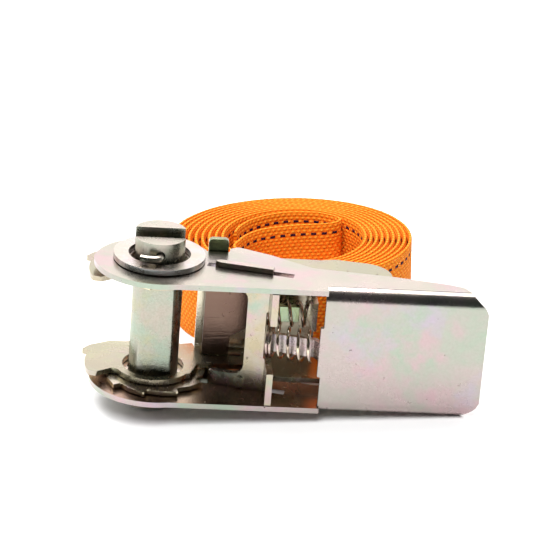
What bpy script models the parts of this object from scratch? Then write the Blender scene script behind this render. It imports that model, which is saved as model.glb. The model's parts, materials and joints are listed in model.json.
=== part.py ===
"""Ratchet tie down for 25 mm webbing, lying closed on its side with its strap coiled behind it.

Sizes are in metres. The ratchet is drawn in its own frame, with the spindle axis on Z at mid-height,
X along the handle and Y towards the frame's web, and then stands on the floor through one empty.
"""

import math

import bmesh
import bpy
from mathutils import Matrix

MM = 0.001
GAP = 0.3 * MM
SKIN = 0.05 * MM

# Sheet metal, measured along the spindle from mid-height
FRAME_INNER_Z = 13.5 * MM
FRAME_SHEET = 1.5 * MM
HANDLE_INNER_Z = 16.9 * MM
HANDLE_SHEET = 1.5 * MM
HANDLE_OUTER_Z = HANDLE_INNER_Z + HANDLE_SHEET
WHEEL_THICK = 1.3 * MM
WASHER_THICK = 1.5 * MM
PAWL_THICK = 2.0 * MM

# Spindle
MANDREL_R = 7.0 * MM
STRAP_SLOT = 3.0 * MM
FRONT_FACET_Y = -5.7 * MM
FRONT_HALF_Z = (-24.3 * MM, 25.3 * MM)
REAR_HALF_Z = (-23.8 * MM, 27.0 * MM)
COTTER_Z = 22.0 * MM
COTTER_WIRE_R = 0.95 * MM
WHEEL_TIP_R = 15.3 * MM
WHEEL_ROOT_R = 13.2 * MM
WHEEL_TEETH = 10
FIRST_TOOTH_DEG = -134.6
WASHER_R = 12.65 * MM
WASHER_HOLE_R = 8.6 * MM

# Handle
HANDLE_END_R = 17.9 * MM
HANDLE_FRONT_Y = -17.45 * MM
GRIP_FRONT_Y = -17.5 * MM
CAM_BASE_R = 15.2 * MM
GRIP_BEND_R = 3.6 * MM
TONGUE_HALF = 2.6 * MM

# Handle pawl: a plate in a nearly radial plane that leans from X towards the grip side
PAWL_LEAN = math.radians(-14.1)
PAWL_BACK_V = -0.05 * MM
PAWL_TIP_U = 15.65 * MM
PAWL_BODY_U = 25.5 * MM
PAWL_END_U = 31.9 * MM
PAWL_EAR_Z = 12.9 * MM
PAWL_TOP_Z = 19.9 * MM
PAWL_TRAVEL = 5.0 * MM
FLANGE_X = (30.4 * MM, 32.2 * MM)
FLANGE_Z = (7.2 * MM, 16.6 * MM)

# Frame and frame pawl
WEB_OUTER_Y = 14.2 * MM
WEB_X = (12.0 * MM, 45.6 * MM)
FRAME_HOLE_R = 8.6 * MM
FRAME_PAWL_Y = (7.3 * MM, 9.2 * MM)
FRAME_PAWL_X = 13.8 * MM
FRAME_PAWL_TRAVEL = 3.0 * MM
SPRING_TAB_X = 44.1 * MM
ANCHOR = (56.7 * MM, 3.0 * MM)
TAIL_R = 8.4 * MM

# Strap
STRAP_WIDTH = 25.0 * MM
STRAP_THICK = 1.1 * MM
COIL_CENTRE = (41.5 * MM, 56.5 * MM)
COIL_AXES = (36.4 * MM, 31.6 * MM)
CAVITY_CENTRE = (43.0 * MM, 57.7 * MM)
CAVITY_AXES = (19.6 * MM, 19.9 * MM)

# The mandrel's end and the grip's corner both touch the floor
REST_TILT = math.atan2(-FRONT_HALF_Z[0] - HANDLE_OUTER_Z, 85.0 * MM - MANDREL_R)

MATERIALS = {
    "zinc_yellow": ((0.66, 0.64, 0.50), 0.32, 1.0),
    "zinc_blue": ((0.60, 0.66, 0.68), 0.30, 1.0),
    "spring_wire": ((0.55, 0.55, 0.48), 0.28, 1.0),
    "webbing_orange": ((0.85, 0.28, 0.04), 0.80, 0.0),
}


def clear_scene():
    for obj in list(bpy.data.objects):
        bpy.data.objects.remove(obj)


def collection(name):
    made = bpy.data.collections.new(name)
    bpy.context.scene.collection.children.link(made)
    return made


def material(name):
    if name in bpy.data.materials:
        return bpy.data.materials[name]
    colour, roughness, metallic = MATERIALS[name]
    made = bpy.data.materials.new(name)
    made.use_nodes = True
    shader = made.node_tree.nodes["Principled BSDF"]
    shader.inputs["Base Color"].default_value = (*colour, 1.0)
    shader.inputs["Roughness"].default_value = roughness
    shader.inputs["Metallic"].default_value = metallic
    return made


# Outlines: lists of (x, y) in metres


def arc(centre, radius, start_deg, end_deg, steps):
    """Points of a circle's arc, both ends included."""
    angles = [math.radians(start_deg + (end_deg - start_deg) * i / steps) for i in range(steps + 1)]
    return [(centre[0] + radius * math.cos(a), centre[1] + radius * math.sin(a)) for a in angles]


def circle(radius, steps=40, centre=(0.0, 0.0)):
    return arc(centre, radius, 0, 360, steps)[:-1]


def ellipse(centre, axes, steps=64):
    angles = [2 * math.pi * i / steps for i in range(steps)]
    return [(centre[0] + axes[0] * math.cos(a), centre[1] + axes[1] * math.sin(a)) for a in angles]


def rounded(corners, closed=True, steps=4):
    """Corners of (x, y, radius) in millimetres, each rounded with a tangent arc; open ends stay sharp."""
    points = []
    count = len(corners)
    for i, (x, y, radius) in enumerate(corners):
        if radius == 0 or (not closed and i in (0, count - 1)):
            points.append((x * MM, y * MM))
            continue
        before = corners[i - 1]
        after = corners[(i + 1) % count]
        a = math.atan2(before[1] - y, before[0] - x)
        b = math.atan2(after[1] - y, after[0] - x)
        half = ((b - a + math.pi) % (2 * math.pi) - math.pi) / 2
        reach = radius / abs(math.tan(half))
        away = radius / abs(math.sin(half))
        cx = x + away * math.cos(a + half)
        cy = y + away * math.sin(a + half)
        start = math.atan2(y + reach * math.sin(a) - cy, x + reach * math.cos(a) - cx)
        end = math.atan2(y + reach * math.sin(b) - cy, x + reach * math.cos(b) - cx)
        turn = (end - start + math.pi) % (2 * math.pi) - math.pi
        for k in range(steps + 1):
            angle = start + turn * k / steps
            points.append(((cx + radius * math.cos(angle)) * MM, (cy + radius * math.sin(angle)) * MM))
    return points


# Solids


def link(obj, parent, home, colour=None):
    home.objects.link(obj)
    obj.parent = parent
    if colour:
        obj.data.materials.append(material(colour))
    return obj


def flat_mesh(name, rings, low, high):
    """A mesh of an outline with holes, extruded along Z from low to high."""
    curve = bpy.data.curves.new(name, "CURVE")
    curve.dimensions = "2D"
    curve.fill_mode = "BOTH"
    curve.extrude = (high - low) / 2
    for ring in rings:
        spline = curve.splines.new("POLY")
        spline.points.add(len(ring) - 1)
        for point, (x, y) in zip(spline.points, ring):
            point.co = (x, y, 0.0, 1.0)
        spline.use_cyclic_u = True
    holder = bpy.data.objects.new(name, curve)
    bpy.context.scene.collection.objects.link(holder)
    depsgraph = bpy.context.evaluated_depsgraph_get()
    mesh = bpy.data.meshes.new_from_object(holder.evaluated_get(depsgraph))
    bpy.data.objects.remove(holder)
    bpy.data.curves.remove(curve)
    shape = bmesh.new()
    shape.from_mesh(mesh)
    bmesh.ops.remove_doubles(shape, verts=shape.verts, dist=0.00001)
    bmesh.ops.recalc_face_normals(shape, faces=shape.faces)
    bmesh.ops.translate(shape, verts=shape.verts, vec=(0.0, 0.0, (low + high) / 2))
    shape.to_mesh(mesh)
    shape.free()
    mesh.name = name
    return mesh


def flat_solid(name, rings, low, high, turn=None):
    mesh = flat_mesh(name, rings, low, high)
    if turn:
        mesh.transform(turn)
    mesh.shade_smooth()
    mesh.set_sharp_from_angle(angle=math.radians(30))
    return bpy.data.objects.new(name, mesh)


def box(name, low, high):
    """An axis-aligned box between two corners in millimetres."""
    mesh = bpy.data.meshes.new(name)
    shape = bmesh.new()
    size = [(b - a) * MM for a, b in zip(low, high)]
    centre = [(a + b) / 2 * MM for a, b in zip(low, high)]
    place = Matrix.Translation(centre) @ Matrix.Diagonal((*size, 1.0))
    bmesh.ops.create_cube(shape, size=1.0, matrix=place)
    shape.to_mesh(mesh)
    shape.free()
    return bpy.data.objects.new(name, mesh)


def boolean(target, cutter, operation):
    """Cuts or joins with the EXACT solver, and keeps the cutter as a hidden guide."""
    if not cutter.users_collection:
        link(cutter, target.parent, CUTTERS)
    cutter.hide_render = True
    cutter.display_type = "WIRE"
    step = target.modifiers.new(f"{operation}_{cutter.name}", "BOOLEAN")
    step.operation = operation
    step.solver = "EXACT"
    step.object = cutter


# (x, y, z) of an outline drawn across the sheet: x stays, y becomes Z
UPRIGHT = Matrix(((1, 0, 0, 0), (0, 0, -1, 0), (0, 1, 0, 0), (0, 0, 0, 1)))
# An outline drawn in Y and Z, extruded along X
ALONG_X = Matrix(((0, 0, 1, 0), (1, 0, 0, 0), (0, 1, 0, 0), (0, 0, 0, 1)))


def channel_outline(open_y, web_y, half_height, sheet, bend):
    """Section of a U channel in (Y, Z): legs from open_y to a web whose outer face is at web_y."""
    side = 1 if web_y > open_y else -1
    inner_bend = bend - sheet
    corner_y = web_y - side * bend
    outer = [(open_y, -half_height)]
    inner = [(open_y, half_height - sheet)]
    for i in range(7):
        angle = math.radians(-90 + 15 * i)
        z = -half_height + bend + bend * math.sin(angle)
        outer.append((corner_y + side * bend * math.cos(angle), z))
    outer += [(y, -z) for y, z in reversed(outer)]
    for i in range(5):
        angle = math.radians(90 - 22.5 * i)
        z = half_height - bend + inner_bend * math.sin(angle)
        inner.append((corner_y + side * inner_bend * math.cos(angle), z))
    inner += [(y, -z) for y, z in reversed(inner)]
    return outer + inner


# Handle


def handle_side_outline():
    """The side plate from above: round end, cam, pawl recess, hump and tapering tail."""
    ramp = []
    for i in range(9):
        angle = 180 - 55 * i / 8
        radius = HANDLE_END_R + (CAM_BASE_R - HANDLE_END_R) * i / 8
        ramp.append((radius * math.cos(math.radians(angle)), radius * math.sin(math.radians(angle))))
    front = math.degrees(math.asin(-HANDLE_FRONT_Y / HANDLE_END_R))
    end = arc((0, 0), HANDLE_END_R, 360 - front, 180, 22)
    cam = arc((0, 0), CAM_BASE_R, 122, 30, 14)
    rear = rounded(
        [
            (13.3, 6.8, 0), (19.7, 6.8, 0.5), (19.9, 9.0, 0.8), (22.2, 10.6, 1.5), (31.4, 5.8, 8.0),
            (42.4, -2.0, 6.0), (63.8, -5.4, 0), (79.5, -9.2, 8.0), (83.4, -10.9, 2.0), (85.9, -15.6, 2.0),
        ],
        closed=False,
    )
    corner = [(86.0 * MM, -15.9 * MM), (91.0 * MM, -15.9 * MM), (91.0 * MM, HANDLE_FRONT_Y)]
    return end + ramp[1:] + cam + rear + corner


def pawl_slot_outline():
    """The slanted slot that the handle pawl's ears run in."""
    half = PAWL_THICK / 2 + GAP
    middle = PAWL_BACK_V + PAWL_THICK / 2
    near = PAWL_TIP_U - 2.2 * MM
    far = PAWL_END_U + PAWL_TRAVEL + 0.6 * MM
    corners = [(near, middle - half), (far, middle - half), (far, middle + half), (near, middle + half)]
    lean_x, lean_y = math.cos(PAWL_LEAN), math.sin(PAWL_LEAN)
    return [(x * lean_x - y * lean_y, x * lean_y + y * lean_x) for x, y in corners]


def build_handle(parent, home):
    outline = handle_side_outline()
    holes = [circle(8.0 * MM, 36), pawl_slot_outline()]
    upper = flat_solid("handle_lever", [outline, *holes], HANDLE_INNER_Z, HANDLE_OUTER_Z)
    link(upper, parent, home, "zinc_yellow")
    lower = flat_solid("handle_lower_plate", [outline, *holes], -HANDLE_OUTER_Z, -HANDLE_INNER_Z)
    boolean(upper, lower, "UNION")
    square_edge = box("handle_bend_room", (45.5, -18.5, -19.5), (92.0, -14.0, 19.5))
    boolean(upper, square_edge, "DIFFERENCE")
    height = HANDLE_OUTER_Z - SKIN
    section = channel_outline(-13.0 * MM, GRIP_FRONT_Y, height, HANDLE_SHEET - 2 * SKIN, GRIP_BEND_R)
    grip = flat_solid("handle_grip", [section], 43.0 * MM, 91.0 * MM, ALONG_X)
    link(grip, parent, CUTTERS)
    aside = Matrix.Translation((-SKIN, -2 * SKIN, 0.0))
    side = flat_solid("handle_grip_side", [outline], -19.5 * MM, 19.5 * MM, aside)
    boolean(grip, side, "INTERSECT")
    face = rounded(
        [
            (45.1, -19.0, 0), (84.6, -19.0, 0.8), (88.9, -15.0, 1.2), (89.75, -13.4, 0.8),
            (89.75, 13.4, 0.8), (88.9, 15.0, 1.2), (84.6, 19.0, 0.8), (45.1, 19.0, 0),
            (45.1, 7.3, 0.3), (44.25, 7.3, 0.3), (44.25, -7.3, 0.3), (45.1, -7.3, 0.3),
        ]
    )
    front = flat_solid("handle_grip_face", [face], 12.0 * MM, 18.5 * MM, UPRIGHT)
    boolean(grip, front, "INTERSECT")
    boolean(upper, grip, "UNION")
    strip = [
        (45.3, -17.3), (44.35, -17.3), (43.0, -14.8), (29.9, -11.35),
        (29.9, -9.85), (43.7, -13.4), (45.3, -16.3),
    ]
    tongue = flat_solid("handle_tongue", [[(x * MM, y * MM) for x, y in strip]], -TONGUE_HALF, TONGUE_HALF)
    boolean(upper, tongue, "UNION")


def build_handle_pawl(parent, home):
    slide = bpy.data.objects.new("handle_pawl_slide", None)
    link(slide, parent, home)
    slide.rotation_euler.z = PAWL_LEAN
    tip, body, end = (v / MM for v in (PAWL_TIP_U, PAWL_BODY_U, PAWL_END_U))
    ear, top = PAWL_EAR_Z / MM, PAWL_TOP_Z / MM
    notch = FLANGE_Z[0] / MM
    outline = rounded(
        [
            (tip, -top, 0.4), (end, -top, 0.4), (end, -notch, 0), (end - 1.0, -notch, 0.6),
            (end - 1.0, notch, 0.6), (end, notch, 0), (end, top, 0.4), (tip, top, 0.4),
            (tip, ear, 0.8), (body, ear, 3.0), (body, -ear, 3.0), (tip, -ear, 0.8),
        ]
    )
    low = -PAWL_BACK_V - PAWL_THICK
    plate = flat_solid("handle_pawl", [outline], low, -PAWL_BACK_V, UPRIGHT)
    link(plate, slide, home, "zinc_yellow")
    nub_outline = circle(1.5 * MM, 16, (24.6 * MM, -14.9 * MM))
    nub = flat_solid("pawl_nub", [nub_outline], -1.0 * MM, 1.0 * MM, UPRIGHT)
    boolean(plate, nub, "UNION")
    middle = (PAWL_BACK_V + PAWL_THICK / 2) / MM
    for side in (-1, 1):
        sharp, wide = middle + side * 0.35, middle + side * 1.3
        wedge = [(tip - 1, sharp), (tip, sharp), (tip + 2.4, wide), (tip - 1, wide)]
        outline = [(x * MM, y * MM) for x, y in wedge]
        cutter = flat_solid(f"pawl_tip_wedge_{side}", [outline], -21 * MM, 21 * MM)
        boolean(plate, cutter, "DIFFERENCE")
        low_z, high_z = sorted(side * v for v in FLANGE_Z)
        left, right = FLANGE_X[0] / MM, FLANGE_X[1] / MM
        flange = box(f"pawl_flange_{side}", (left, -17.4, low_z / MM), (right, -7.0, high_z / MM))
        flange.matrix_local = Matrix.Rotation(-PAWL_LEAN, 4, "Z")
        boolean(plate, flange, "UNION")


def coil_points(start, end, radius, turns, per_turn, lean):
    """A helix with closed end turns between two points of the XY plane at mid-height."""
    length = math.dist(start, end)
    count = round(turns * per_turn)
    axis = ((end[0] - start[0]) / length, (end[1] - start[1]) / length)
    side = (-axis[1], axis[0])
    points = []
    for i in range(count + 1):
        angle = 2 * math.pi * i / per_turn + lean
        part = i / count
        along = length * (part - 0.055 * math.sin(2 * math.pi * part))
        across = radius * math.cos(angle)
        points.append(
            (start[0] + axis[0] * along + side[0] * across,
             start[1] + axis[1] * along + side[1] * across,
             radius * math.sin(angle))
        )
    return points


def wire(name, points, radius, parent, home, colour):
    """A round wire along a list of points, with filled ends."""
    curve = bpy.data.curves.new(name, "CURVE")
    curve.dimensions = "3D"
    curve.bevel_depth = radius
    curve.bevel_resolution = 2
    curve.use_fill_caps = True
    spline = curve.splines.new("POLY")
    spline.points.add(len(points) - 1)
    for point, co in zip(spline.points, points):
        point.co = (*co, 1.0)
    return link(bpy.data.objects.new(name, curve), parent, home, colour)


def build_springs(parent, home):
    handle = coil_points((31.2 * MM, -10.75 * MM), (42.4 * MM, -13.6 * MM), 4.2 * MM, 4.5, 20, 1.6)
    wire("handle_pawl_spring", handle, 0.45 * MM, parent, home, "spring_wire")
    middle = sum(FRAME_PAWL_Y) / 2
    frame = coil_points((28.9 * MM, middle), (43.5 * MM, middle), 3.4 * MM, 5.0, 18, 0.0)
    wire("frame_pawl_spring", frame, 0.4 * MM, parent, home, "spring_wire")


# Frame


def frame_side_outline():
    """The frame's side plate from above: hook, lobe, clearance arc, closing notch and round tail."""
    hook = rounded(
        [(-11.9, 14.0, 0), (-17.6, 10.8, 3.0), (-19.9, 7.8, 0.3), (-17.3, 6.8, 0.5), (-18.7, 5.0, 0)],
        closed=False,
    )
    lobe = arc((0, 0), 19.15 * MM, 167, 194, 6)
    step = rounded([(-18.0, -5.8, 0), (-15.8, -6.6, 1.0), (-11.3, -3.6, 1.0), (-10.0, -4.4, 0)], closed=False)
    clearance = arc((0, 0), 10.8 * MM, -154, -32, 22)
    notch = rounded(
        [(10.2, -5.4, 0), (12.6, 1.6, 0.8), (28.6, 1.6, 3.0), (32.6, -4.8, 1.5), (36.0, -5.35, 0)],
        closed=False,
    )
    tail = arc((ANCHOR[0], ANCHOR[1]), TAIL_R, -90, 84, 24)
    rear = rounded(
        [
            (54.0, 12.1, 0), (50.0, 12.9, 3.0), (46.5, 12.2, 1.5),
            (44.2, 11.2, 0), (12.4, 11.2, 0), (11.4, 14.6, 0),
        ],
        closed=False,
    )
    back = arc((0, 0), 15.9 * MM, 60, 118, 10)
    return hook + lobe + step + clearance + notch + tail + rear + back


def frame_slot_outline():
    low = FRAME_PAWL_X - 0.4 * MM
    high = FRAME_PAWL_X + 7.6 * MM + FRAME_PAWL_TRAVEL + 0.5 * MM
    near, far = FRAME_PAWL_Y[0] - GAP, FRAME_PAWL_Y[1] + GAP
    return [(low, near), (high, near), (high, far), (low, far)]


def build_frame(parent, home):
    anchor_hole = circle(3.35 * MM, 28, ANCHOR)
    rings = [frame_side_outline(), circle(FRAME_HOLE_R), frame_slot_outline(), anchor_hole]
    outer = FRAME_INNER_Z + FRAME_SHEET
    upper = flat_solid("frame", rings, FRAME_INNER_Z, outer)
    link(upper, parent, home, "zinc_yellow")
    boolean(upper, flat_solid("frame_lower_plate", rings, -outer, -FRAME_INNER_Z), "UNION")
    section = channel_outline(10.0 * MM, WEB_OUTER_Y, outer - SKIN, FRAME_SHEET - 2 * SKIN, 2.5 * MM)
    web = flat_solid("frame_web", [section], WEB_X[0], WEB_X[1], ALONG_X)
    boolean(upper, web, "UNION")
    tab = SPRING_TAB_X / MM
    boolean(upper, box("frame_spring_tab", (tab, 5.0, -3.9), (tab + 1.4, 13.4, 4.6)), "UNION")


def build_frame_pawl(parent, home):
    slide = bpy.data.objects.new("frame_pawl_slide", None)
    link(slide, parent, home)
    left = FRAME_PAWL_X / MM
    half = [
        (40.6, 2.4, 0), (28.2, 2.4, 0), (28.2, 4.6, 0.4), (26.6, 4.6, 0), (left + 7.6, 7.6, 0.6),
        (left + 7.6, 16.5, 0.3), (left + 5.6, 16.5, 0), (left + 5.6, 21.9, 1.2), (left, 21.9, 1.2),
    ]
    outline = rounded(half + [(x, -z, radius) for x, z, radius in reversed(half)])
    plate = flat_solid("frame_pawl", [outline], -FRAME_PAWL_Y[1], -FRAME_PAWL_Y[0], UPRIGHT)
    link(plate, slide, home, "zinc_yellow")


def build_anchor(parent, home):
    head = [(0.0, 16.2), (4.3, 16.2), (4.3, 15.3), (3.0, 15.3)]
    rivet_profile = head + [(radius, -height) for radius, height in reversed(head)]
    sleeve_profile = [(3.35, 13.2), (4.5, 13.2), (4.5, -13.2), (3.35, -13.2), (3.35, 13.2)]
    for name, profile, colour in (
        ("anchor_rivet", rivet_profile, "zinc_yellow"),
        ("anchor_sleeve", sleeve_profile, "zinc_blue"),
    ):
        turned(name, profile, (*ANCHOR, 0.0), parent, home, colour)


def turned(name, profile, place, parent, home, colour, steps=28):
    """A turned piece: a profile of (radius, height) in millimetres, spun around Z."""
    mesh = bpy.data.meshes.new(name)
    shape = bmesh.new()
    closed = profile[0] == profile[-1]
    verts = [shape.verts.new((r * MM, 0.0, z * MM)) for r, z in (profile[:-1] if closed else profile)]
    for a, b in zip(verts, verts[1:] + (verts[:1] if closed else [])):
        shape.edges.new((a, b))
    shape.to_mesh(mesh)
    shape.free()
    made = link(bpy.data.objects.new(name, mesh), parent, home, colour)
    made.location = place
    spin = made.modifiers.new("spin", "SCREW")
    spin.steps = steps
    spin.render_steps = steps
    spin.use_merge_vertices = True
    spin.merge_threshold = 0.00001
    spin.use_smooth_shade = False
    return made


# Spindle


def half_round(sign):
    """A half-round bar's section: the bar keeps half the strap slot clear of the middle."""
    flat = math.degrees(math.asin(STRAP_SLOT / 2 / MANDREL_R))
    start, end = (flat, 180 - flat) if sign > 0 else (180 + flat, 360 - flat)
    return arc((0, 0), MANDREL_R, start, end, 18)


def cotter_hole(name, height):
    hole = flat_solid(name, [circle(COTTER_WIRE_R + 0.35 * MM, 16)], -12 * MM, 12 * MM, UPRIGHT)
    hole.location.z = height
    return hole


def build_mandrel(parent, home):
    for name, sign, (low, high) in (
        ("mandrel_front_half", -1, FRONT_HALF_Z),
        ("mandrel_rear_half", 1, REAR_HALF_Z),
    ):
        bar = flat_solid(name, [half_round(sign)], low, high)
        link(bar, parent, home, "zinc_yellow")
        for side in (-1, 1):
            boolean(bar, cotter_hole(f"{name}_hole_{side}", side * COTTER_Z), "DIFFERENCE")
        if sign < 0:
            facet = box("mandrel_facet", (-9, -9, -15.2), (9, FRONT_FACET_Y / MM, 15.2))
            boolean(bar, facet, "DIFFERENCE")


def wheel_outline():
    """Ratchet teeth: each ramps up anticlockwise and drops steeply at its anticlockwise end."""
    pitch = 360 / WHEEL_TEETH
    tooth_flank = [
        (0.04, WHEEL_ROOT_R), (0.12, WHEEL_ROOT_R), (0.5, 14.15 * MM), (0.9, 15.0 * MM), (0.97, WHEEL_TIP_R),
    ]
    points = []
    for tooth in range(WHEEL_TEETH):
        tip = FIRST_TOOTH_DEG + tooth * pitch
        for share, radius in tooth_flank:
            angle = math.radians(tip - pitch * (1 - share))
            points.append((radius * math.cos(angle), radius * math.sin(angle)))
    return points


def drive_hole(sign):
    """A D-shaped hole that a half-round bar passes through, beside the bar that drives the wheel."""
    radius = MANDREL_R + GAP
    chord = STRAP_SLOT / 2 - GAP
    flat = math.degrees(math.asin(chord / radius))
    start, end = (flat, 180 - flat) if sign > 0 else (180 + flat, 360 - flat)
    return arc((0, 0), radius, start, end, 16)


def build_wheels(parent, home):
    rings = [wheel_outline(), drive_hole(1), drive_hole(-1)]
    low = FRAME_INNER_Z + FRAME_SHEET + GAP
    for name, side in (("ratchet_wheel_upper", 1), ("ratchet_wheel_lower", -1)):
        bottom, top = sorted((side * low, side * (low + WHEEL_THICK)))
        link(flat_solid(name, rings, bottom, top), parent, home, "zinc_yellow")


def build_washers(parent, home):
    low = HANDLE_OUTER_Z + GAP
    for name, side in (("washer_upper", 1), ("washer_lower", -1)):
        bottom, top = sorted((side * low, side * (low + WASHER_THICK)))
        washer = flat_solid(name, [circle(WASHER_R, 56), circle(WASHER_HOLE_R)], bottom, top)
        link(washer, parent, home, "zinc_blue")


def build_cotters(parent, home):
    """Each cotter is a wire: an open eye behind the spindle, a shank through it and a bent end in front."""
    eye = arc((0.0, 11.2 * MM), 2.0 * MM, -15, 230, 12)
    shank = [(-0.35 * MM, 9.0 * MM)] + [(0.0, y * MM) for y in (8.0, 4.0, 0.0, -4.0, -7.4)]
    bend = arc((-1.8 * MM, -7.6 * MM), 1.8 * MM, -8, -88, 5)
    end = [(-3.6 * MM, -9.35 * MM), (-5.4 * MM, -8.7 * MM)]
    for name, side in (("cotter_pin_upper", 1), ("cotter_pin_lower", -1)):
        points = [(x, y, side * COTTER_Z) for x, y in eye + shank + bend + end]
        wire(name, points, COTTER_WIRE_R, parent, home, "spring_wire")


# Strap


def ribbon(name, path, parent, home):
    """A strip of webbing on edge: path holds (x, y, middle height), and the strip keeps its width."""
    mesh = bpy.data.meshes.new(name)
    shape = bmesh.new()
    rows = []
    for i, (x, y, z) in enumerate(path):
        before, after = path[max(i - 1, 0)], path[min(i + 1, len(path) - 1)]
        run = math.hypot(after[0] - before[0], after[1] - before[1])
        nx, ny = -(after[1] - before[1]) / run, (after[0] - before[0]) / run
        half = STRAP_THICK / 2
        rows.append(
            [
                shape.verts.new((x + side * nx * half, y + side * ny * half, z + lift * STRAP_WIDTH / 2))
                for side, lift in ((-1, -1), (1, -1), (1, 1), (-1, 1))
            ]
        )
    for a, b in zip(rows, rows[1:]):
        for k in range(4):
            shape.faces.new((a[k], a[(k + 1) % 4], b[(k + 1) % 4], b[k]))
    shape.faces.new(rows[0][::-1])
    shape.faces.new(rows[-1])
    bmesh.ops.recalc_face_normals(shape, faces=shape.faces)
    shape.to_mesh(mesh)
    shape.free()
    return link(bpy.data.objects.new(name, mesh), parent, home, "webbing_orange")


def smooth_path(points, per_span=5):
    """Points along a Catmull-Rom curve through a few chosen ones, in millimetres."""
    ends = [points[0], *points, points[-1]]
    made = []
    for p0, p1, p2, p3 in zip(ends, ends[1:], ends[2:], ends[3:]):
        for k in range(per_span):
            t = k / per_span
            made.append(
                tuple(
                    0.5 * MM * (2 * b + (c - a) * t + (2 * a - 5 * b + 4 * c - d) * t * t
                                + (3 * b - a - 3 * c + d) * t ** 3)
                    for a, b, c, d in zip(p0, p1, p2, p3)
                )
            )
    made.append(tuple(v * MM for v in points[-1]))
    return made


def build_strap(floor, tilted, home):
    ring = flat_solid("strap_end_loop", [circle(6.0 * MM, 32, ANCHOR), circle(4.85 * MM, 32, ANCHOR)],
                      -STRAP_WIDTH / 2, STRAP_WIDTH / 2)
    link(ring, tilted, home, "webbing_orange")
    rings = [ellipse(COIL_CENTRE, COIL_AXES), ellipse(CAVITY_CENTRE, CAVITY_AXES)]
    coil = flat_solid("strap_coil", rings, 0.0, STRAP_WIDTH)
    link(coil, floor, home, "webbing_orange")
    anchor_height = math.cos(REST_TILT) * -FRONT_HALF_Z[0] + (MANDREL_R - ANCHOR[0]) * math.sin(REST_TILT)
    top = anchor_height / MM
    middle = STRAP_WIDTH / 2 / MM
    lead = [
        (61.7, 8.0, top), (60.4, 12.0, top), (56.6, 16.2, top),
        (51.0, 19.0, top - 0.6), (45.0, 20.9, middle + 6.2),
        (38.0, 22.4, middle + 3.6), (30.0, 24.0, middle + 0.9), (25.0, 25.6, middle),
    ]
    ribbon("strap_lead", smooth_path(lead), floor, home)
    fold = [
        (27.6, 59.2), (32.3, 62.6), (38.0, 65.1), (44.6, 66.5), (51.0, 66.9), (55.0, 67.6),
        (56.6, 69.4), (54.6, 71.4), (50.6, 72.4), (45.0, 73.0), (39.1, 72.4), (33.6, 69.8),
    ]
    ribbon("strap_inner_fold", smooth_path([(x, y, middle) for x, y in fold], 4), floor, home)


def stand_on_floor(whole, parts):
    """Moves the whole assembly so that its box stands centred on the floor."""
    bpy.context.view_layer.update()
    depsgraph = bpy.context.evaluated_depsgraph_get()
    corners = []
    for part in parts.objects:
        if part.type == "EMPTY":
            continue
        shown = part.evaluated_get(depsgraph)
        mesh = shown.to_mesh()
        corners += [shown.matrix_world @ vertex.co for vertex in mesh.vertices]
        shown.to_mesh_clear()
    low = [min(c[k] for c in corners) for k in range(3)]
    high = [max(c[k] for c in corners) for k in range(3)]
    whole.location = (-(low[0] + high[0]) / 2, -(low[1] + high[1]) / 2, -low[2])
    bpy.context.view_layer.update()


clear_scene()
PARTS = collection("ratchet_tie_down")
CUTTERS = collection("cutters")
assembly = link(bpy.data.objects.new("assembly", None), None, PARTS)
ratchet = link(bpy.data.objects.new("ratchet", None), assembly, PARTS)
ratchet.rotation_euler.y = REST_TILT
ratchet.location.z = math.cos(REST_TILT) * -FRONT_HALF_Z[0] + MANDREL_R * math.sin(REST_TILT)

build_handle(ratchet, PARTS)
build_handle_pawl(ratchet, PARTS)
build_frame(ratchet, PARTS)
build_frame_pawl(ratchet, PARTS)
build_anchor(ratchet, PARTS)
build_mandrel(ratchet, PARTS)
build_wheels(ratchet, PARTS)
build_washers(ratchet, PARTS)
build_cotters(ratchet, PARTS)
build_springs(ratchet, PARTS)
build_strap(assembly, ratchet, PARTS)
stand_on_floor(assembly, PARTS)
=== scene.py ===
import json
import math

import bmesh
import bpy
import numpy as np
from mathutils import Matrix, Vector, noise


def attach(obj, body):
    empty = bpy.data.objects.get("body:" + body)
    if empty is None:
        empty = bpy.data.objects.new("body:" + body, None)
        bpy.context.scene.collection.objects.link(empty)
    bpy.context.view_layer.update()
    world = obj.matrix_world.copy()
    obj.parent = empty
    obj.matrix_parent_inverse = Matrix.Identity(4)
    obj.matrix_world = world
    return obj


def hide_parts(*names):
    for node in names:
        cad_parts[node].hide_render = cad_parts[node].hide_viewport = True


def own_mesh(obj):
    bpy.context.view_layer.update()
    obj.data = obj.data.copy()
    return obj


MM = 0.001
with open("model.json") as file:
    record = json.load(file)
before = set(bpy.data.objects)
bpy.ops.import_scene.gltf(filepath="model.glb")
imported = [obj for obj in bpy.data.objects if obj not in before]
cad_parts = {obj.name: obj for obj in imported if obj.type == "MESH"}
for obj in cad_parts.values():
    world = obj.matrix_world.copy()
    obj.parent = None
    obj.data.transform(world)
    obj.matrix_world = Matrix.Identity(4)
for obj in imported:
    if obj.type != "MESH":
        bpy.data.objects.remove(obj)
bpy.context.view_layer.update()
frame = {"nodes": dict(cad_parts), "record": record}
record = frame["record"]
nodes = frame["nodes"]

# The ratchet's own frame: spindle axis on Z, X along the handle, Y towards the frame's web
swing = next(j for j in record["behaviour"]["joints"] if j["name"] == "handle_swing")
CENTRE = Vector(swing["pos_m"])
UP = Vector(swing["axis"]).normalized()
ALONG = Vector((UP.z, 0.0, -UP.x))
TILTED = Matrix.Translation(CENTRE) @ Matrix((ALONG, (0, 1, 0), UP)).transposed().to_4x4()
LEVEL = Matrix.Translation((CENTRE.x, CENTRE.y, 0.0))

# ---------------------------------------------------------------- camera

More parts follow.
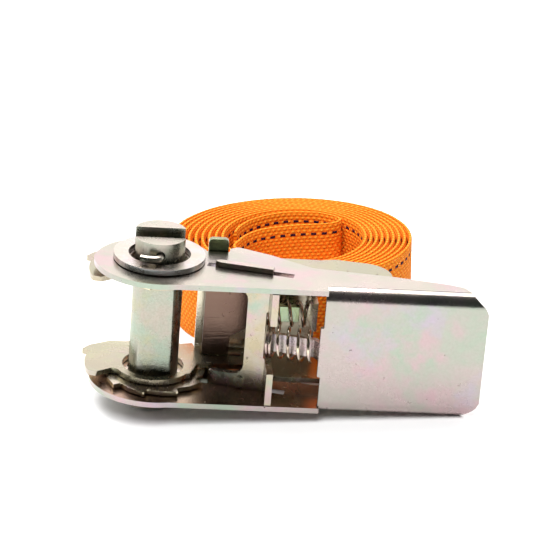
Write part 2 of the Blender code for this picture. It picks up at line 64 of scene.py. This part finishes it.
PITCH = math.radians(23.5)
YAW = math.radians(3.5)
LENS = 168.02
STAND = Vector((-6.5, -648.6, 295.1)) * MM
camera = bpy.data.objects.new("camera", bpy.data.cameras.new("camera"))
bpy.context.scene.collection.objects.link(camera)
camera.data.sensor_width = 36.0
camera.data.lens = LENS
camera.data.clip_start = 0.01
camera.data.clip_end = 20.0
camera.location = CENTRE + STAND
level = math.cos(PITCH)
looking = Vector((level * math.sin(YAW), level * math.cos(YAW), -math.sin(PITCH)))
camera.rotation_euler = looking.to_track_quat("-Z", "Y").to_euler()
bpy.context.scene.camera = camera


# ---------------------------------------------------------------- materials


class Shader:
    """Adds nodes to one material.

    In node(), an input named i0, i1 and so on is a socket's number, and _name is a property of the node.
    """

    def __init__(self, name):
        self.material = bpy.data.materials.new(name)
        self.material.use_nodes = True
        self.tree = self.material.node_tree
        self.shader = self.tree.nodes["Principled BSDF"]

    def node(self, kind, **inputs):
        made = self.tree.nodes.new("ShaderNode" + kind)
        for key, value in inputs.items():
            if key.startswith("_"):
                setattr(made, key[1:], value)
                continue
            by_number = key[0] == "i" and key[1:].isdigit()
            socket = made.inputs[int(key[1:]) if by_number else key]
            if isinstance(value, bpy.types.NodeSocket):
                self.tree.links.new(value, socket)
            else:
                socket.default_value = value
        return made

    def math(self, operation, a, b=0.0, clamp=False):
        return self.node("Math", _operation=operation, _use_clamp=clamp, i0=a, i1=b).outputs[0]

    def span(self, value, low, high, to_low=0.0, to_high=1.0):
        """The value mapped from low..high to to_low..to_high, and held at those ends."""
        return self.node("MapRange", i0=value, i1=low, i2=high, i3=to_low, i4=to_high).outputs[0]

    def noise(self, place, scale, detail=2.0, roughness=0.5, distortion=0.0):
        made = self.node("TexNoise", Vector=place, Scale=scale, Detail=detail)
        made.inputs["Roughness"].default_value = roughness
        made.inputs["Distortion"].default_value = distortion
        return made.outputs[0]

    def ramp(self, factor, stops):
        made = self.node("ValToRGB", Fac=factor)
        elements = made.color_ramp.elements
        while len(elements) < len(stops):
            elements.new(0.5)
        for element, (place, colour) in zip(elements, stops):
            element.position = place
            element.color = (*colour, 1.0)
        return made.outputs["Color"]

    def mix(self, factor, a, b):
        made = self.node("Mix", _data_type="RGBA", Factor=factor)
        for socket, value in ((made.inputs[6], a), (made.inputs[7], b)):
            if isinstance(value, bpy.types.NodeSocket):
                self.tree.links.new(value, socket)
            else:
                socket.default_value = (*value, 1.0)
        return made.outputs[2]

    def set(self, **inputs):
        names = {"colour": "Base Color", "roughness": "Roughness", "metallic": "Metallic", "normal": "Normal"}
        for key, value in inputs.items():
            socket = self.shader.inputs[names.get(key, key.replace("_", " "))]
            if isinstance(value, bpy.types.NodeSocket):
                self.tree.links.new(value, socket)
            else:
                socket.default_value = value
        return self.material


# Passivate tints, as base colours of the metal; some below are painted light and shade, as marked
CREAM = (0.45, 0.40, 0.34)
PINK = (0.50, 0.35, 0.37)
MINT = (0.34, 0.40, 0.32)
BLUSH = (0.45, 0.38, 0.36)
LILAC = (0.43, 0.37, 0.43)
OLIVE = (0.40, 0.39, 0.26)
GOLD = (0.47, 0.40, 0.27)
STEEL = (0.64, 0.68, 0.68)
# BRONZE is a tint of the spring wire, and also the painted shade on the latch's faces between the frame's
# side plates
BRONZE = (0.17, 0.10, 0.08)
LEAF = (0.44, 0.58, 0.32)
# Painted light: a lighter tint for the frame web's faces between its side plates
WEB_LIGHT_TINT = (0.85, 0.78, 0.60)
BRASS = (0.84, 0.76, 0.54)
MOSS = (0.30, 0.33, 0.17)
# Painted highlight: the tint of faces that point up, lighter where the light above falls on them
LIT_TOP_TINT = (0.88, 0.77, 0.66)
# Painted shade and reflection: the tint of up-facing faces below the frame, inside the handle
LOWER_SHADE_TINT = (0.56, 0.31, 0.16)
# Painted highlight: the tint of the frame's faces that point up
FRAME_LIT_TOP_TINT = (0.60, 0.57, 0.40)
GRAIN_TINT = (0.22, 0.22, 0.17)
SPECK_TINT = (0.10, 0.09, 0.06)

BLACK = (0, 0, 0)
WHITE = (1, 1, 1)

# Heights from the spindle's middle where a tint changes, in metres: just inside the frame's side plates, and
# between the frame's and the handle's side plates
INSIDE_FRAME = 0.0132
OUTSIDE_FRAME = 0.0160

# Noise scales, in cycles per metre
GRAIN_SCALE = 1700.0
SPECK_SCALE = 420.0
SCRATCH_SCALE = 1300.0
WAVE_SCALE = 110.0


def passivated(
    name, tints, size, roughness, shift=0.0, grain_mix=0.16, inner=None, top=LIT_TOP_TINT, lower=None
):
    """Zinc plate with a rainbow passivate: slow colour drift, fine grain, specks and hairline scratches.

    inner is (tint, least Y, greatest X) for faces between the frame's side plates, in metres from the
    spindle: a painted light where the tint is lighter, a painted shade where it is darker. top is the tint
    of faces that point up, a painted highlight from the light above, and lower their tint below the frame,
    a painted shade and reflection there.
    """
    s = Shader(name)
    place = s.node("TexCoord").outputs["Object"]
    moved = s.node("Mapping", Vector=place, Location=(shift, shift * 0.7, shift * 1.3)).outputs[0]
    aside = s.node("Mapping", Vector=moved, Location=(0.31, 0.17, 0.23)).outputs[0]
    beyond = s.node("Mapping", Vector=moved, Location=(0.57, 0.41, 0.19)).outputs[0]
    drift = s.noise(moved, size, 6.0, 0.62, 0.3)
    other = s.noise(aside, size * 1.5, 5.0, 0.6)
    last = s.noise(beyond, size * 1.2, 6.0, 0.65)
    first, second, third, fourth = tints
    base = s.mix(s.span(drift, 0.40, 0.60), first, second)
    base = s.mix(s.span(other, 0.50, 0.66), base, third)
    base = s.mix(s.span(last, 0.54, 0.68), base, fourth)

    grain = s.span(s.noise(place, GRAIN_SCALE, 3.0, 0.7), 0.35, 0.65)
    grained = s.mix(s.math("MULTIPLY", grain, grain_mix), base, GRAIN_TINT)
    specks = s.noise(moved, SPECK_SCALE, 2.0, 0.6)
    dark = s.ramp(specks, [(0.0, BLACK), (0.70, BLACK), (0.76, WHITE)])
    colour = s.mix(s.math("MULTIPLY", dark, 0.35), grained, SPECK_TINT)

    height = s.node("VectorMath", _operation="DOT_PRODUCT", i0=place, i1=tuple(UP)).outputs["Value"]
    height = s.math("SUBTRACT", height, UP.dot(CENTRE))
    # Painted light and shade: faces between the frame's side plates, behind least Y and before greatest X,
    # get the inner tint
    if inner:
        tint, least_y, greatest_x = inner
        start_y, end_x = CENTRE.y + least_y, CENTRE.x + greatest_x
        spot = s.node("SeparateXYZ", Vector=place)
        inside = s.span(s.math("ABSOLUTE", height), INSIDE_FRAME + 0.0004, INSIDE_FRAME)
        behind = s.span(spot.outputs[1], start_y, start_y + 0.0012)
        before_end = s.span(spot.outputs[0], end_x + 0.0006, end_x)
        part = s.math("MULTIPLY", s.math("MULTIPLY", inside, behind), before_end)
        colour = s.mix(s.math("MULTIPLY", part, 0.96), colour, tint)

    # Painted highlight: faces that point up are mixed towards the top tint, as if lit from above
    up = s.node("SeparateXYZ", Vector=s.node("NewGeometry").outputs["Normal"]).outputs[2]
    upward = s.span(up, 0.55, 0.9, 0.0, 0.55)
    pinker = tuple(value * share for value, share in zip(top, (1.06, 0.93, 1.05)))
    colour = s.mix(upward, colour, s.mix(s.span(other, 0.46, 0.60), top, pinker))
    # Painted shade and reflection: up-facing faces below the frame get the lower tint
    if lower:
        below = s.span(height, -OUTSIDE_FRAME, -OUTSIDE_FRAME - 0.0006)
        colour = s.mix(s.math("MULTIPLY", below, upward), colour, lower)

    turned = s.node("Mapping", Vector=moved, Rotation=(0.3, 0.2, 0.9), Scale=(0.05, 1.0, 1.0)).outputs[0]
    lines = s.noise(turned, SCRATCH_SCALE, 1.0)
    scratch = s.ramp(lines, [(0.0, BLACK), (0.66, BLACK), (0.71, WHITE)])
    relief = s.math("ADD", s.math("MULTIPLY", grain, 0.4), s.math("MULTIPLY", scratch, -0.35))
    relief = s.math("ADD", relief, s.math("MULTIPLY", s.noise(place, WAVE_SCALE), 2.6))
    bump = s.node("Bump", Strength=0.12, Distance=0.0002, Height=relief).outputs[0]
    rough = s.span(drift, 0.3, 0.7, roughness - 0.05, roughness + 0.07)
    rough = s.math("ADD", rough, s.math("MULTIPLY", dark, 0.2), clamp=True)
    return s.set(colour=colour, roughness=rough, metallic=1.0, normal=bump)


# Weave and tracer thread, in millimetres across and along the webbing
WEAVE_ROW = 1.12
WEAVE_FLOAT = 1.75
TRACER_PITCH = 3.2
TRACER_SHARE = 0.5
TRACER_LINE = 21.9
TRACER_HALF = 0.42
TRACER_TINT = (0.035, 0.012, 0.030)
# Painted shade: the darker red of the weave's hollows
WEB_HOLLOW_SHADE = (0.82, 0.13, 0.0)
WEB_CROWN = (1.0, 0.44, 0.045)
WEB_DRIFT = (1.0, 0.29, 0.010)
WEB_FIBRE = (1.0, 0.42, 0.08)


def webbing(name):
    """Woven polyester: rows of staggered floats across the width, and a dark dashed tracer thread."""
    s = Shader(name)
    uv = s.node("UVMap").outputs[0]
    parts = s.node("SeparateXYZ", Vector=uv)
    across = s.math("MULTIPLY", parts.outputs[0], 1 / MM)
    along = s.math("MULTIPLY", parts.outputs[1], 1 / MM)
    row = s.math("DIVIDE", across, WEAVE_ROW)
    parity = s.math("MULTIPLY", s.math("MODULO", s.math("FLOOR", row), 2.0), 0.5)
    step = s.math("ADD", s.math("DIVIDE", along, WEAVE_FLOAT), parity)
    crown = s.math("ABSOLUTE", s.math("SINE", s.math("MULTIPLY", row, math.pi)))
    wave = s.math("SINE", s.math("MULTIPLY", step, 2 * math.pi))
    swell = s.math("ADD", s.math("MULTIPLY", wave, 0.5), 0.5)
    weave = s.math("MULTIPLY", crown, s.math("ADD", s.math("MULTIPLY", swell, 0.9), 0.1))
    stretched = s.node("Mapping", Vector=uv, Scale=(6.0, 1.0, 1.0)).outputs[0]
    fibres = s.noise(stretched, 1400.0)
    drift = s.noise(uv, 60.0)
    # Painted shade: the weave's hollows are darker red and its crowns lighter orange, as light falls on the
    # raised floats
    woven = s.mix(weave, WEB_HOLLOW_SHADE, WEB_CROWN)
    toned = s.mix(s.math("MULTIPLY", drift, 0.3), woven, WEB_DRIFT)
    mottled = s.mix(s.math("MULTIPLY", fibres, 0.15), toned, WEB_FIBRE)
    phase = s.math("FRACT", s.math("DIVIDE", along, TRACER_PITCH))
    on = s.math("LESS_THAN", phase, TRACER_SHARE)
    off_line = s.math("ABSOLUTE", s.math("SUBTRACT", across, TRACER_LINE))
    near = s.math("LESS_THAN", off_line, TRACER_HALF)
    tracer = s.math("MULTIPLY", on, near)
    colour = s.mix(tracer, mottled, TRACER_TINT)
    height = s.math("ADD", weave, s.math("MULTIPLY", fibres, 0.25))
    bump = s.node("Bump", Strength=0.9, Distance=0.0005, Height=height).outputs[0]
    return s.set(colour=colour, roughness=0.8, metallic=0.0, normal=bump, Specular_IOR_Level=0.12)


# ---------------------------------------------------------------- metal pieces: CAD shapes, rounded edges

# The handle's up-facing faces get a painted highlight, and below the frame a painted shade and reflection
PLATE = passivated("zinc_handle", (MINT, BLUSH, PINK, LILAC), 48.0, 0.23, lower=LOWER_SHADE_TINT)
# The frame's web between its side plates gets a painted light, and its up-facing faces a painted highlight
FRAME_PLATE = passivated(
    "zinc_frame", (CREAM, GOLD, OLIVE, PINK), 70.0, 0.25, 0.13,
    inner=(WEB_LIGHT_TINT, 0.0112, 0.1), top=FRAME_LIT_TOP_TINT,
)
SPINDLE = passivated("zinc_spindle", (MINT, CREAM, OLIVE, CREAM), 90.0, 0.27, 0.31, 0.3)
WHEEL = passivated("zinc_wheel", (BRASS, GOLD, BRASS, PINK), 160.0, 0.2, 0.47, 0.08)
PAWL = passivated("zinc_pawl", (CREAM, GOLD, PINK, MINT), 110.0, 0.24, 0.53)
# The latch's faces between the frame's side plates get a painted shade, and its up-facing faces a painted
# highlight in olive
LATCH = passivated(
    "zinc_latch", (LEAF, MOSS, MINT, LEAF), 90.0, 0.22, 0.63,
    inner=(BRONZE, -0.01, 0.028), top=OLIVE,
)
WASHER = passivated("zinc_washer", (STEEL, CREAM, STEEL, PINK), 90.0, 0.28, 0.71)
WIRE = passivated("spring_steel", (BRASS, PINK, GOLD, BRONZE), 300.0, 0.18, 0.91)

FINISH = {
    "handle_lever": PLATE, "frame": FRAME_PLATE, "frame_pawl": LATCH, "handle_pawl": PAWL,
    "mandrel_front_half": SPINDLE, "mandrel_rear_half": SPINDLE,
    "ratchet_wheel_upper": WHEEL, "ratchet_wheel_lower": WHEEL,
    "washer_upper": WASHER, "washer_lower": WASHER,
    "anchor_rivet": FRAME_PLATE, "anchor_sleeve": SPINDLE,
    "cotter_pin_upper": SPINDLE, "cotter_pin_lower": SPINDLE,
}

# Edge radius in millimetres
EDGE = {
    "handle_lever": 0.18, "frame": 0.18, "frame_pawl": 0.18, "handle_pawl": 0.18,
    "mandrel_front_half": 0.18, "mandrel_rear_half": 0.18,
    "washer_upper": 0.2, "washer_lower": 0.2, "anchor_rivet": 0.2,
    "ratchet_wheel_upper": 0.15, "ratchet_wheel_lower": 0.15,
}


def paint(obj, material):
    """Gives every face of an object one material."""
    if obj.data.materials:
        for i in range(len(obj.data.materials)):
            obj.data.materials[i] = material
    else:
        obj.data.materials.append(material)


def round_edges(obj, width):
    """Joins the flat triangles into faces and rounds the sharp edges, as on tumbled pressings."""
    weld = obj.modifiers.new("weld", "WELD")
    weld.merge_threshold = 0.000004
    flat = obj.modifiers.new("flat", "DECIMATE")
    flat.decimate_type = "DISSOLVE"
    flat.angle_limit = math.radians(1.0)
    roll = obj.modifiers.new("rolled_edge", "BEVEL")
    roll.width = width * MM
    roll.segments = 2
    roll.limit_method = "ANGLE"
    roll.angle_limit = math.radians(40)
    roll.harden_normals = False
    even = obj.modifiers.new("even", "WEIGHTED_NORMAL")
    even.keep_sharp = False


for name, finish in FINISH.items():
    paint(nodes[name], finish)
    if name in EDGE:
        round_edges(nodes[name], EDGE[name])


# ---------------------------------------------------------------- strap

# Millimetres, from the spindle's axis. OUTER and INNER are (centre, half axes) of the coil's outermost and
# innermost centre lines
STRAP_W = 25.0
STRAP_T = 0.95
TURNS = 9.08
FREE_TURN = 0.42
START_DEG = 230
OUTER = ((41.5, 56.5), (36.4 - STRAP_T / 2, 31.6 - STRAP_T / 2))
INNER = ((43.0, 57.7), (19.6 + STRAP_T / 2, 19.9 + STRAP_T / 2))
ANCHOR = (56.7, 3.0)
anchor_height = (TILTED @ Vector((ANCHOR[0] * MM, ANCHOR[1] * MM, 0.0))).z / MM
FLAT = STRAP_W / 2 + 0.03
LOOP_R = 5.45
LOOP_STEPS = 48


def spiral(turn):
    """Centre line of the wound strap: turn 0 is where it joins the coil, at the front left."""
    share = max(0.0, turn - FREE_TURN) / (TURNS - FREE_TURN)
    angle = math.radians(START_DEG) - 2 * math.pi * turn
    (cx, cy), (a, b) = OUTER
    (dx, dy), (c, d) = INNER
    x = cx + (dx - cx) * share + (a + (c - a) * share) * math.cos(angle)
    y = cy + (dy - cy) * share + (b + (d - b) * share) * math.sin(angle)
    return x, y, FLAT


def spline(points, spacing):
    """Points along a Catmull-Rom curve, about a spacing apart."""
    ends = [points[0], *points, points[-1]]
    made = []
    for p0, p1, p2, p3 in zip(ends, ends[1:], ends[2:], ends[3:]):
        steps = max(2, round(math.dist(p1, p2) / spacing))
        for k in range(steps):
            t = k / steps
            spot = []
            for a, b, c, d in zip(p0, p1, p2, p3):
                square = (2 * a - 5 * b + 4 * c - d) * t * t
                cube = (3 * b - a - 3 * c + d) * t ** 3
                spot.append(0.5 * (2 * b + (c - a) * t + square + cube))
            made.append(tuple(spot))
    made.append(tuple(points[-1]))
    return made


def even(points, spacing):
    """The same line with evenly spaced points."""
    points = np.array(points)
    lengths = np.concatenate([[0.0], np.cumsum(np.linalg.norm(np.diff(points, axis=0), axis=1))])
    count = int(lengths[-1] / spacing)
    places = np.linspace(0, lengths[-1], count + 1)
    return np.stack([np.interp(places, lengths, points[:, k]) for k in range(3)], axis=1), lengths[-1]


loop = []
for i in range(LOOP_STEPS + 1):
    angle = math.radians(20 - 345 * i / LOOP_STEPS)
    loop.append((ANCHOR[0] + LOOP_R * math.cos(angle), ANCHOR[1] + LOOP_R * math.sin(angle), 0.0))
lead = [
    (61.7, 8.0, anchor_height), (60.4, 12.0, anchor_height), (56.6, 16.2, anchor_height),
    (51.0, 19.0, anchor_height - 0.6), (45.0, 20.9, FLAT + 6.2), (38.0, 22.4, FLAT + 3.6),
    (30.0, 24.0, FLAT + 0.9), (24.3, 26.6, FLAT),
]
COIL_STEPS = 900
wound = [spiral(TURNS * i / COIL_STEPS) for i in range(12, COIL_STEPS + 1)]
fold = [
    (25.6, 54.6), (28.2, 59.0), (32.2, 62.6), (37.6, 64.6), (44.6, 65.9), (51.0, 66.2), (55.2, 67.1),
    (57.3, 69.6), (55.8, 72.5), (51.6, 75.2), (46.0, 76.4), (40.0, 76.1), (34.4, 73.9), (29.6, 70.2),
    (26.2, 65.2), (24.9, 61.0),
]
route = spline(lead + wound[::6] + [(x, y, FLAT) for x, y in fold], 1.0)
centre_line, STRAP_LENGTH = even(route, 1.25)


def ribbon_section():
    """Outline of the webbing's section: (across the thickness, across the width) in millimetres."""
    t, w = STRAP_T / 2, STRAP_W / 2
    side = [(t, -w + 0.32), (t, -w * 0.5), (t, 0.0), (t, w * 0.5), (t, w - 0.32)]
    side += [(t * 0.62, w - 0.06), (0.0, w)]
    back = [(-x, z) for x, z in reversed(side)][1:]
    bottom = [(-t * 0.62, -w + 0.06), (0.0, -w), (t * 0.62, -w + 0.06)]
    return side + back + bottom


def webbing_strip(name, line):
    """The webbing as a closed body swept along its centre line, with UVs in metres across and along."""
    mesh = bpy.data.meshes.new(name)
    shape = bmesh.new()
    uv = shape.loops.layers.uv.new("UVMap")
    section = ribbon_section()
    line = np.asarray(line)
    rows = []
    travelled = 0.0
    places = []
    for i, (x, y, z) in enumerate(line):
        before = line[max(i - 1, 0)]
        after = line[min(i + 1, len(line) - 1)]
        run = math.hypot(after[0] - before[0], after[1] - before[1])
        nx, ny = -(after[1] - before[1]) / run, (after[0] - before[0]) / run
        if i:
            travelled += math.dist(line[i], line[i - 1])
        places.append(travelled * MM)
        row = []
        for t, w in section:
            lift = w
            if w > STRAP_W / 2 - 0.4:
                lift += noise.noise(Vector((travelled * 1.6, w * 0.3, 4.0))) * 0.09
            row.append(shape.verts.new(((x + nx * t) * MM, (y + ny * t) * MM, (z + lift) * MM)))
        rows.append(row)
    count = len(section)
    widths = [(w + STRAP_W / 2) * MM for t, w in section]
    for i in range(len(rows) - 1):
        for k in range(count):
            n = (k + 1) % count
            face = shape.faces.new((rows[i][k], rows[i][n], rows[i + 1][n], rows[i + 1][k]))
            face.smooth = True
            corners = ((widths[k], places[i]), (widths[n], places[i]), (widths[n], places[i + 1]),
                       (widths[k], places[i + 1]))
            for corner, value in zip(face.loops, corners):
                corner[uv].uv = value
    for row, place in ((rows[0][::-1], places[0]), (rows[-1], places[-1])):
        face = shape.faces.new(row)
        for corner in face.loops:
            corner[uv].uv = (corner.vert.co.z, place)
    bmesh.ops.recalc_face_normals(shape, faces=shape.faces)
    shape.to_mesh(mesh)
    shape.free()
    obj = bpy.data.objects.new(name, mesh)
    bpy.context.scene.collection.objects.link(obj)
    return obj


WEB = webbing("orange_webbing")
strap = webbing_strip("strap_webbing", centre_line)
strap.matrix_world = LEVEL
paint(strap, WEB)
bpy.context.view_layer.update()
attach(strap, "frame_body")
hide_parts("strap_coil", "strap_lead", "strap_inner_fold")

loop_line, LOOP_LENGTH = even(loop, 1.0)
end_loop = webbing_strip("strap_end_loop_webbing", loop_line)
end_loop.matrix_world = TILTED
paint(end_loop, WEB)
bpy.context.view_layer.update()
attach(end_loop, "frame_body")
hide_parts("strap_end_loop")

# ---------------------------------------------------------------- springs

# Points in a turn, and the closed turns' pitch in wire radii
SPRING_STEPS = 28
CLOSED_PITCH = 2.05
SPRING_WIRE = 0.46
TONGUE_SEAT = (42.8, -13.7, 0)
LATCH_SEAT = (43.9, 8.25, 0)


def spring(name, start, end, radius, wire, turns, closed_turns, first_angle):
    """A wound wire between two points at mid-height, with closed turns at its first end."""
    start, end = Vector(start), Vector(end)
    axis = (end - start).normalized()
    side = Vector((0.0, 0.0, 1.0)).cross(axis)
    count = round(turns * SPRING_STEPS)
    shape = bpy.data.curves.new(name, "CURVE")
    shape.dimensions = "3D"
    shape.bevel_depth = wire * MM
    shape.bevel_resolution = 3
    shape.use_fill_caps = True
    winding = shape.splines.new("POLY")
    winding.points.add(count)
    pitch = wire * CLOSED_PITCH
    tight = closed_turns * pitch
    length = (end - start).length
    for i in range(count + 1):
        turn = turns * i / count
        if turn < closed_turns:
            along = turn * pitch
        else:
            along = tight + (length - tight) * (turn - closed_turns) / (turns - closed_turns)
        angle = 2 * math.pi * turn + first_angle
        around = side * radius * math.cos(angle) + Vector((0, 0, radius * math.sin(angle)))
        spot = start + axis * along + around
        winding.points[i].co = (*(TILTED @ (spot * MM)), 1.0)
    obj = bpy.data.objects.new(name, shape)
    bpy.context.scene.collection.objects.link(obj)
    bpy.context.view_layer.update()
    mesh = bpy.data.meshes.new_from_object(obj.evaluated_get(bpy.context.evaluated_depsgraph_get()))
    mesh.name = name
    bpy.data.objects.remove(obj)
    for face in mesh.polygons:
        face.use_smooth = True
    made = bpy.data.objects.new(name, mesh)
    bpy.context.scene.collection.objects.link(made)
    paint(made, WIRE)
    return made


tongue_spring = spring(
    "handle_pawl_coil_spring", (30.6, -10.6, 0), TONGUE_SEAT, 4.25, SPRING_WIRE, 5.5, 1.6, 1.2
)
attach(tongue_spring, "handle_body")
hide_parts("handle_pawl_spring")
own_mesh(tongue_spring)

latch_spring = spring(
    "frame_pawl_coil_spring", (29.0, 8.25, 0), LATCH_SEAT, 3.5, SPRING_WIRE, 5.2, 1.0, 0.4
)
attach(latch_spring, "frame_body")
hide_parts("frame_pawl_spring")
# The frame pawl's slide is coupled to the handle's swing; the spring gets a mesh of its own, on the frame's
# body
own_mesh(latch_spring)

# ---------------------------------------------------------------- floor, light

floor_mesh = bpy.data.meshes.new("floor")
sheet = bmesh.new()
bmesh.ops.create_grid(sheet, x_segments=1, y_segments=1, size=3.0)
sheet.to_mesh(floor_mesh)
sheet.free()
floor = bpy.data.objects.new("floor", floor_mesh)
bpy.context.scene.collection.objects.link(floor)
white = Shader("floor_white")
speckle = white.noise(white.node("TexCoord").outputs["Object"], 30.0)
paper = white.mix(speckle, (0.93, 0.93, 0.93), (0.95, 0.95, 0.95))
paint(floor, white.set(colour=paper, roughness=0.9))

world = bpy.data.worlds.new("studio")
bpy.context.scene.world = world
world.use_nodes = True
sky = world.node_tree
background = sky.nodes["Background"]
direction = sky.nodes.new("ShaderNodeTexCoord").outputs["Generated"]
split = sky.nodes.new("ShaderNodeSeparateXYZ")
sky.links.new(direction, split.inputs[0])


def sky_math(operation, a, b):
    """One arithmetic node in the world's tree."""
    made = sky.nodes.new("ShaderNodeMath")
    made.operation = operation
    for socket, value in zip(made.inputs, (a, b)):
        if isinstance(value, bpy.types.NodeSocket):
            sky.links.new(value, socket)
        else:
            socket.default_value = value
    return made.outputs[0]


# Brightness by direction along Y, from the camera's side (0) to behind the object (1)
ramp = sky.nodes.new("ShaderNodeValToRGB")
sky.links.new(sky_math("ADD", sky_math("MULTIPLY", split.outputs[1], 0.5), 0.5), ramp.inputs[0])
SKY_STRENGTH = 1.2
stops = [(0.0, 0.05), (0.46, 0.05), (0.53, 0.25), (0.62, 0.95), (1.0, 1.02)]
while len(ramp.color_ramp.elements) < len(stops):
    ramp.color_ramp.elements.new(0.5)
for element, (place, value) in zip(ramp.color_ramp.elements, stops):
    element.position = place
    element.color = (value, value, value, 1.0)
sky.links.new(ramp.outputs[0], background.inputs[0])
background.inputs[1].default_value = SKY_STRENGTH


def area(name, place, target, size, power):
    """A rectangular light aimed at a point."""
    light = bpy.data.lights.new(name, "AREA")
    light.shape = "RECTANGLE"
    light.size, light.size_y = size
    light.energy = power
    obj = bpy.data.objects.new(name, light)
    bpy.context.scene.collection.objects.link(obj)
    obj.location = place
    obj.rotation_euler = (Vector(target) - Vector(place)).to_track_quat("-Z", "Y").to_euler()
    return obj


area("overhead", (-0.15, 0.45, 1.0), (0.0, 0.0, 0.0), (0.9, 0.7), 9.0)
fill = area("fill", (-0.2, -0.5, 1.05), (0.0, 0.0, 0.02), (0.8, 0.8), 16.0)
# The fill isn't seen in reflections, so it lights the cloth and the floor but not the metal
fill.visible_glossy = False

scene = bpy.context.scene
scene.view_settings.view_transform = "Standard"
scene.view_settings.look = "None"
scene.view_settings.exposure = 0.0
